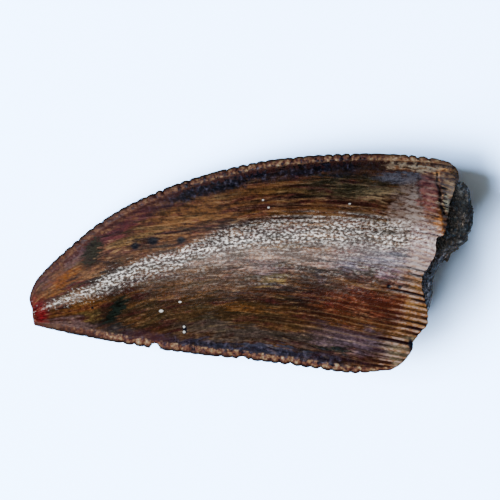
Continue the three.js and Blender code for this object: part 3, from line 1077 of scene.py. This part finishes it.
# %% Crack and ridges
colour = crack.smooth(0.2, 0.7, 0, 0.9).colour(colour, "1a080c")
colour = groove.smooth(0.15, 0.5, 0, 1.0).colour(colour, "20080a")
crest = ridge.smooth(0.6, 0.95) * along.smooth(0.92, 0.97)
paler_crest = crest * mottle.smooth(0.35, 0.6, 0.3, 0.8)
colour = paler_crest.colour(colour, mottle.smooth(0.4, 0.6).colour("c07840", "d4a890"))
enamel.tell("crack and ridges")

# %% [markdown]
# ## Enamel: the keels
# The denticles are worn to tan and darker in the slots, and a painted dark line stands in for the
# shade where the blade's edge turns away. A second material on the keels' faces would end in a
# hard line. The blade channel, from 0 at the keel's root to 1 at its edge, lets the tan reach a
# little way onto the face with a ragged edge. It is darker on the front keel's half towards the tip.

# %% Colours of the keels
speckle = place.noise((4.5, 4.5, 4.5), 3, 0.7, 21.0)
speckle_swing = speckle - 0.5
on_keel = (blade - 0.2 + speckle_swing * 2.5).smooth(-0.2, 0.2) * blade.smooth(0.0, 0.2) + (
    front + speckle_swing * 1.6).smooth(0.2, 0.05) * blade.smooth(0.2, 0.0)
tan = speckle.ramp((0.34, "2c1212"), (0.42, "5a2a20"), (0.52, "804c36"), (0.6, "ac8056"),
                   (0.7, "d8b890"))
plan_y = place.part(1)
dim = (along.smooth(0.62, 0.35) * plan_y.smooth(0.4, 1.0)
       + along.smooth(0.22, 0.12) * plan_y.smooth(0.4, 0.1))
tan = (dim * 0.75).colour(tan, speckle.smooth(0.4, 0.66).colour("2c1016", "6a3018"))
# Darker in the slots between the denticles.
tan = tooth.smooth(0.6, 0.2, 0, 0.45).colour(tan, "2a1410")
foot = (blade + speckle_swing * 1.5).smooth(0.3, 0.0, 0, 0.6) * along.smooth(0.9, 0.8, 0.2, 1)
tan = foot.colour(tan, "48201c")
# Painted shade: a dark line where the blade's edge turns away.
tan = blade.smooth(0.62, 0.88, 0, 0.95).colour(tan, "0a0605")
colour = (on_keel * along.smooth(0.03, 0.12, 0.25, 0.92)).colour(colour, tan)
enamel.tell("keels")

# %% [markdown]
# ## Enamel: dentine, pits and specks
# Where the crown is broken through, the paler dentine shows. Dirt fills the pits, and a few pale
# specks of grit stick to the face. Each could be mixed in by itself, as the stains are, but marks
# of one colour need only the distance to the nearest of them, and one mix for them all.

# %% Dentine and spots
# A low light paints the dentine lighter, because the break faces away from the lamps.
DENTINE_LIGHT = 6
# (x, y, half length, half width), in millimetres
SPECKS = [
    (6.8, -0.76, 0.11, 0.075), (7.84, -0.38, 0.08, 0.05), (7.92, -1.71, 0.06, 0.065),
    (7.9, -1.98, 0.07, 0.07), (12.7, 4.54, 0.06, 0.05), (12.95, 4.12, 0.06, 0.05),
    (17.2, 3.9, 0.07, 0.04),
]
SPOTS = [
    (5.77, 2.78, 0.26, 0.22), (6.73, 2.95, 0.3, 0.25), (8.21, 2.86, 0.26, 0.2),
    (18.82, -0.6, 0.13, 0.11), (19.39, -0.7, 0.11, 0.1), (3.2, -0.25, 0.08, 0.07),
    (7.95, -1.85, 0.12, 0.28), (19.7, -3.75, 0.14, 0.34),
]


def blots(colour, spots, code, soft):
    """Small spots of one colour."""
    nearest = 10.0
    for spot in spots:
        near = exact.ellipse(*spot)
        nearest = near.maths("MINIMUM", near, nearest)
    return nearest.smooth(1.3, soft).colour(colour, code)


dentine = fibre.noise((3, 3, 3), 4, 0.65).ramp(
    (0.3, "4a3020"), (0.5, "8a6238"), (0.7, "b99464"), light=DENTINE_LIGHT)
colour = fracture.smooth(0.2, 0.8).colour(colour, dentine)
colour = blots(colour, SPOTS, "0c0f1a", 0.5)
colour = blots(colour, SPECKS, "fff0e0", 0.6)
enamel.tell(f"{len(SPOTS)} spots and {len(SPECKS)} specks")

# %% [markdown]
# ## Enamel: grain and gloss
# Where the outer face turns up to the light it is polished, but full of tiny pits. A mirror finish
# would give one clean streak of light, so one fine grain moves the colour, the roughness and the
# bump together, and the reflection breaks into bright dots and dark pits. In the colour the grain
# paints cream dots along the sheen band, a painted highlight, and dark specks that are strongest
# there, as painted shade. Bump is enough here, because the grain is far finer than the mesh. It is
# tuned on faces that point inwards, so it needs its invert set if the crown is ever turned round.
# The coat is strong only around the crest, and it fades towards both keels, the tip, the scar and
# the break, which are dull with wear.

# %% Grain and gloss
GRAIN_DEPTH, KEEL_GAP = 0.00005, (0.1, 0.5)

grain = place.noise((6, 9, 7), 1, 0.5)
shoulder = across - along.smooth(0.08, 0.34, 0.46, 0.71)
brow = (shoulder + along.smooth(0.11, 0.19, 0, 0.05) + along.smooth(0.2, 0.3, 0, 0.07)
        - along.smooth(0.37, 0.55, 0, 0.1))
off_keels = front.smooth(*KEEL_GAP) * rear.smooth(*KEEL_GAP)
# A band along the sheen: pitted in the bump and the gloss, and given painted glints in the colour.
pitted_with_painted_glints = (abs(brow + 0.045) / along.smooth(0.42, 0.25, 0.07, 0.13)).smooth(1.3, 0.4) * off_keels
near_tip = along.smooth(0.6, 0.5) * brow.smooth(-0.02, 0.05)
dull = (on_keel * 0.25 + fracture * 0.5 + scar * 0.2 + near_tip * 0.3
        + along.smooth(0.93, 0.97) * 0.12)
# Painted shade: dark specks, strongest in the sheen band.
colour = (grain.smooth(0.42, 0.3) * (pitted_with_painted_glints * 0.6 + 0.3)).colour(colour, "120a08")
# Painted highlight: cream dots in the sheen band.
colour = (grain.smooth(0.62, 0.72) * pitted_with_painted_glints * 0.8).colour(colour, "e8dccc")
rough = grain.smooth(0.42, 0.58, 0.17, 0.09) + dull
bumps = (grain - 0.5) * (pitted_with_painted_glints * 0.55 + 0.4) + fibre.noise((1.5, 9, 1), 3, 0.6) * 0.12
normal = bumps.node("ShaderNodeBump", None, {
    "Strength": 1.0, "Distance": GRAIN_DEPTH, "Height": bumps,
})
polish = place.noise((1.3, 2.6, 2), 4, 0.65, 27.0).smooth(0.34, 0.66, 0.4, 1.5)
gloss = (grain.smooth(0.44, 0.6) * (pitted_with_painted_glints * along.smooth(0.5, 0.7, 0.75, 0.4) + 0.38)
         * thread.smooth(0.36, 0.64, 0.2, 1.7) + 0.05)
low = -shoulder - along.smooth(0.04, 0.4, 0.03, 0.45)
gloss = (gloss * polish * along.smooth(0.65, 0.8, 1, 1.2) * low.smooth(0.12, -0.03)
         * (shoulder - 0.1).smooth(0.3, 0.1) * off_keels)
gloss = gloss * shoulder.smooth(-0.34, -0.14, 0.5, 1)
gloss = (gloss * (1 - near_tip) * (1 - on_keel * 0.97) * (1 - fracture) * (1 - scar * 0.7)
         * along.smooth(0.98, 0.92, 0.45, 1))
enamel.set(base_color=colour, roughness=rough, normal=normal, coat_weight=gloss)
crown.data.materials.append(enamel.material)
enamel.tell("grain and gloss")

# %% [markdown]
# ## Rock
# The plug is a dark, blue-black sandstone, browner and plainer where it runs down as a crust. Its
# colours are painted lighter, most of all on the crust, because the plug lies in the crown's shadow.
# Noise alone makes smooth clouds. A Voronoi texture makes grains: one random number to each cell,
# which picks the few pale ones, and dark gaps between the cells. Three sizes of grain are laid over
# each other.

# %% Rock finish
# Low light numbers paint the rock lighter, most of all the crust, since it lies in the crown's
# shadow.
ROCK_LIGHT, DUST_LIGHT, CRUST_LIGHT, GRAIN_LIGHT = 2.2, 3.0, 1.0, 10
CRUST_FROM = (1.2, 0.3)
# (cells to the millimetre, colour of the pale grains, share of the grains that stay dark)
GRAINS = ((1.7, "8c8070", 0.6), (3.4, "8c9090", 0.65), (8.0, "f0e4d4", 0.84))

sandstone = Finish("dark_sandstone", roughness=0.75, specular_ior_level=0.3)
place = sandstone.channel("plan")
broad = place.noise((1.5, 1.5, 1.5), 4, 0.65, 2.0)
crumbs = place.noise((3.4, 3.4, 3.4), 3, 0.7, 5.0)
wobbly = place.vector("ADD", place.noise((5, 5, 5), 2).vector("MULTIPLY", (0.12, 0.12, 0.12)))
colour = broad.ramp((0.4, "0c3040"), (0.48, "2c4c5a"), (0.53, "5c524a"), (0.6, "ac9684"),
                    light=ROCK_LIGHT)
colour = crumbs.smooth(0.47, 0.38, 0, 0.85).colour(colour, "050709")
colour = crumbs.smooth(0.54, 0.62, 0, 0.6).colour(colour, hexed("a89888", DUST_LIGHT))
# Painted light: the crust down the break is painted lighter, for it lies in the crown's shadow.
crust = crumbs.smooth(0.4, 0.6).colour(hexed("4a3830", CRUST_LIGHT), hexed("b4988a", CRUST_LIGHT))
colour = place.part(1).smooth(*CRUST_FROM, 0, 0.9).colour(colour, crust)
height = place.noise((18, 18, 18), 2, 0.6) * 0.25
for cells, pale, share in GRAINS:
    cell = {"Vector": wobbly, "Scale": cells}
    sort = wobbly.node("ShaderNodeTexVoronoi", None, cell, 1).part(0)
    gap = wobbly.node("ShaderNodeTexVoronoi", {"feature": "DISTANCE_TO_EDGE"}, cell)
    grain = gap.smooth(0.03, 0.16)
    colour = ((1 - grain) * 0.7).colour(colour, "07090c")
    lit = sort.smooth(share, share + 0.1, 0, 0.75) * grain
    colour = lit.colour(colour, hexed(pale, GRAIN_LIGHT))
    height = height + grain * (2.0 / cells)
normal = height.node("ShaderNodeBump", None, {
    "Strength": 0.8, "Distance": 0.0001, "Height": height,
})
sandstone.set(base_color=colour, normal=normal)
plug.data.materials.append(sandstone.material)
sandstone.tell("done")

# %% [markdown]
# ## Floor
# The tooth lies on a plain pale surface. A plane is enough. It is left out of reflections, so that
# it doesn't put a pale haze on the low sides of the enamel.

# %% Floor
floor_finish = Finish("pale_surface", roughness=0.9)
floor_finish.shader.inputs["Base Color"].default_value = hexed("b8d6ff", 1.0)
bpy.ops.mesh.primitive_plane_add(size=2.0)
floor = bpy.context.object
floor.name = "floor"
floor.data.materials.append(floor_finish.material)
floor.visible_glossy = False
floor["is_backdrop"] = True
print("floor, m:", round(floor.dimensions.x, 2))

# %% [markdown]
# ## Lights
# Two broad cool lamps, from the left and the lower left, light the enamel and cast the short shadow
# to the right, and a faint warm one fills it. One lamp could also draw the sheen, but then its
# strength would change the whole tooth. So the sheen has a row of strips of its own that only shows
# in gloss. Each strip shows on its own slope of the crown, and its strength is that slope's sheen.

# %% Lights
VIEW_TURN = -5.5
VIEW_MIDDLE = np.array((11.77, 1.99, 3.0))
AIM = Vector((VIEW_MIDDLE + shift) * MM)
LAMP_DISTANCE = 0.5
SHEEN_TILT = -31
STRIP_SIZE, STRIP_TINT = (0.68, 0.13), (1, 0.98, 0.96)
STRIPS = {37: 2.8, 22: 5.3, 7: 3.8, -8: 2.6, -23: 1.9, -34: 0.8}  # turn in degrees: strength
LAMPS = {  # direction, width and height, strength, tint
    "left": ((-1.0, -0.1, 1), (0.25, 0.4), 28.0, (0.68, 0.84, 1)),
    "low_left": ((-0.9, -0.55, 1), (0.25, 0.4), 26.0, (0.84, 0.92, 1)),
    "fill": ((0.3, 0, 1), (0.6, 0.6), 0.45, (1, 0.84, 0.6)),
}


def soft_light(name, direction, size, strength, tint, sheen=False):
    """A lamp that faces the tooth. A sheen lamp shows in gloss alone, and any other in the rest."""
    light = bpy.data.lights.new(name, "AREA")
    light.shape, (light.size, light.size_y) = "RECTANGLE", size
    light.energy, light.color = strength, tint
    lamp = bpy.data.objects.new(name, light)
    towards = Vector(direction).normalized()
    sideways = Vector((0, 1, 0)).cross(towards).normalized()
    lamp.matrix_world = Matrix.Translation(AIM + towards * LAMP_DISTANCE) @ Matrix(
        (sideways, towards.cross(sideways), towards)).transposed().to_4x4()
    lamp.visible_glossy, lamp.visible_diffuse = sheen, not sheen
    bpy.context.scene.collection.objects.link(lamp)


for turn, strength in STRIPS.items():
    direction = (math.tan(math.radians(SHEEN_TILT)), math.tan(math.radians(turn)), 1)
    soft_light(f"sheen_{turn}", direction, STRIP_SIZE, strength, STRIP_TINT, sheen=True)
for name, lamp in LAMPS.items():
    soft_light(name, *lamp)
world = bpy.data.worlds.new("soft_room")
world.use_nodes = True
world.node_tree.nodes["Background"].inputs["Color"].default_value = hexed("fff0dc", 1.0)
world.node_tree.nodes["Background"].inputs["Strength"].default_value = 0.085
bpy.context.scene.world = world
print("lamps:", len(STRIPS) + len(LAMPS), "aim, mm:", [round(v / MM, 2) for v in AIM])

# %% [markdown]
# ## Camera
# The camera looks straight down, turned a little so that the tooth's tip lies lower than its base.
# An orthographic camera would also do, but a long lens from far away is what a maker would use, and
# at this distance the tooth's sides hardly splay. The lens follows from the width of the view.

# %% Camera
FRAME_WIDTH, CAMERA_DISTANCE, SENSOR = 26.3 * MM, 400 * MM, 36.0
lens = bpy.data.cameras.new("overhead")
lens.sensor_width = SENSOR
lens.lens = SENSOR * CAMERA_DISTANCE / FRAME_WIDTH
lens.clip_start = 0.01
camera = bpy.data.objects.new("overhead", lens)
camera.location = AIM + Vector((0, 0, CAMERA_DISTANCE))
camera.rotation_euler = (0, 0, math.radians(VIEW_TURN))
bpy.context.scene.collection.objects.link(camera)
bpy.context.scene.camera = camera
print("lens, mm:", round(lens.lens, 1))

# %% [markdown]
# ## Measure and finish
# The skin has to fill the same box as the solids, so its size is printed.

# %% Size and finish
low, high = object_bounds()
print("skin, mm:", [round(side / MM, 2) for side in high - low])
